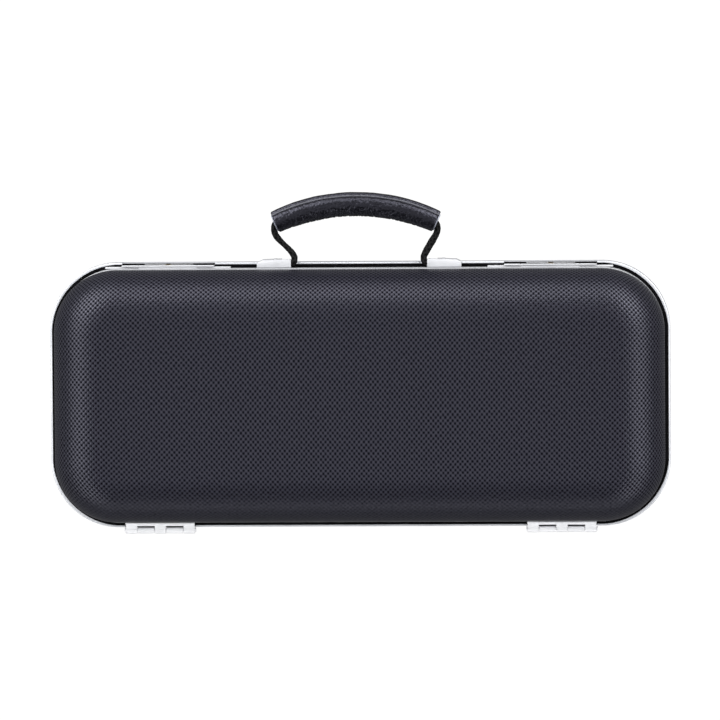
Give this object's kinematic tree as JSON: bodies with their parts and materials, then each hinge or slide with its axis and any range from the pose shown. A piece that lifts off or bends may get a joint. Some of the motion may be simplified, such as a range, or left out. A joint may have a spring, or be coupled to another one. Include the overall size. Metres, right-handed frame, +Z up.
{
  "type": "oboe case",
  "caption": "Hard rounded case with a hinged lid, lever latches, metal valances, a cord-hung leather grip and a fitted plush bed for a dismantled oboe.",
  "frame": {"origin": "centre of the flat resting face under the base", "axes": "+X along the case, -Y to the front with the latches and the handle, +Z up through the lid"},
  "size_m": [0.3802, 0.2115, 0.086],
  "materials": {
    "woven_shell": "moulded composite with a pressed basket weave, satin",
    "satin_valance": "satin drawn aluminium",
    "bright_hardware": "satin silver plate",
    "brass_stud": "dull brass",
    "black_seal": "matte",
    "black_plush": "short plush pile over foam",
    "black_leather": "pebbled, lightly creased",
    "grip_padding": "felt padding",
    "braided_cord": "braided, matte"
  },
  "bodies": {
    "base": {"base_shell": "woven_shell", "base_valance": "satin_valance", "seal": "black_seal", "instrument_bed": "black_plush", "hinge_base_leaf_left": "bright_hardware", "hinge_base_leaf_right": "bright_hardware", "hinge_pin_left": "bright_hardware", "hinge_pin_right": "bright_hardware", "hinge_base_rivet_left_1": "bright_hardware", "hinge_base_rivet_left_2": "bright_hardware", "hinge_base_rivet_right_1": "bright_hardware", "hinge_base_rivet_right_2": "bright_hardware", "latch_keeper_left": "bright_hardware", "latch_keeper_right": "bright_hardware", "latch_keeper_rivet_left_1": "bright_hardware", "latch_keeper_rivet_left_2": "bright_hardware", "latch_keeper_rivet_right_1": "bright_hardware", "latch_keeper_rivet_right_2": "bright_hardware", "handle_bracket_left": "bright_hardware", "handle_bracket_right": "bright_hardware", "bracket_screw_left": "bright_hardware", "bracket_screw_right": "bright_hardware"},
    "lid": {"lid_shell": "woven_shell", "lid_valance": "satin_valance", "lid_lining": "black_plush", "hinge_lid_leaf_left": "bright_hardware", "hinge_lid_leaf_right": "bright_hardware", "hinge_lid_rivet_left_1": "bright_hardware", "hinge_lid_rivet_left_2": "bright_hardware", "hinge_lid_rivet_right_1": "bright_hardware", "hinge_lid_rivet_right_2": "bright_hardware", "latch_plate_left": "bright_hardware", "latch_plate_right": "bright_hardware", "latch_pin_left": "bright_hardware", "latch_pin_right": "bright_hardware", "latch_plate_rivet_left_1": "bright_hardware", "latch_plate_rivet_left_2": "bright_hardware", "latch_plate_rivet_right_1": "bright_hardware", "latch_plate_rivet_right_2": "bright_hardware"},
    "latch_left": {"latch_lever_left": "bright_hardware", "latch_stud_left": "brass_stud"},
    "latch_right": {"latch_lever_right": "bright_hardware", "latch_stud_right": "brass_stud"},
    "handle": {"handle_grip": "black_leather", "handle_core": "grip_padding", "handle_cord": "braided_cord"}
  },
  "joints": [
    {"name": "lid_hinge", "type": "hinge", "parent": "base", "child": "lid", "pos_m": [0, 0.0832, 0.045], "axis": [-1, 0, 0], "range_deg": [0, 105]},
    {"name": "latch_left_hinge", "type": "hinge", "parent": "lid", "child": "latch_left", "pos_m": [-0.1175, -0.0798, 0.053], "axis": [-1, 0, 0], "range_deg": [0, 110]},
    {"name": "latch_right_hinge", "type": "hinge", "parent": "lid", "child": "latch_right", "pos_m": [0.1175, -0.0798, 0.053], "axis": [-1, 0, 0], "range_deg": [0, 110]},
    {"name": "handle_swing", "type": "hinge", "parent": "base", "child": "handle", "pos_m": [0, -0.0812, 0.0486], "axis": [-1, 0, 0], "range_deg": [-65, 80]}
  ]
}
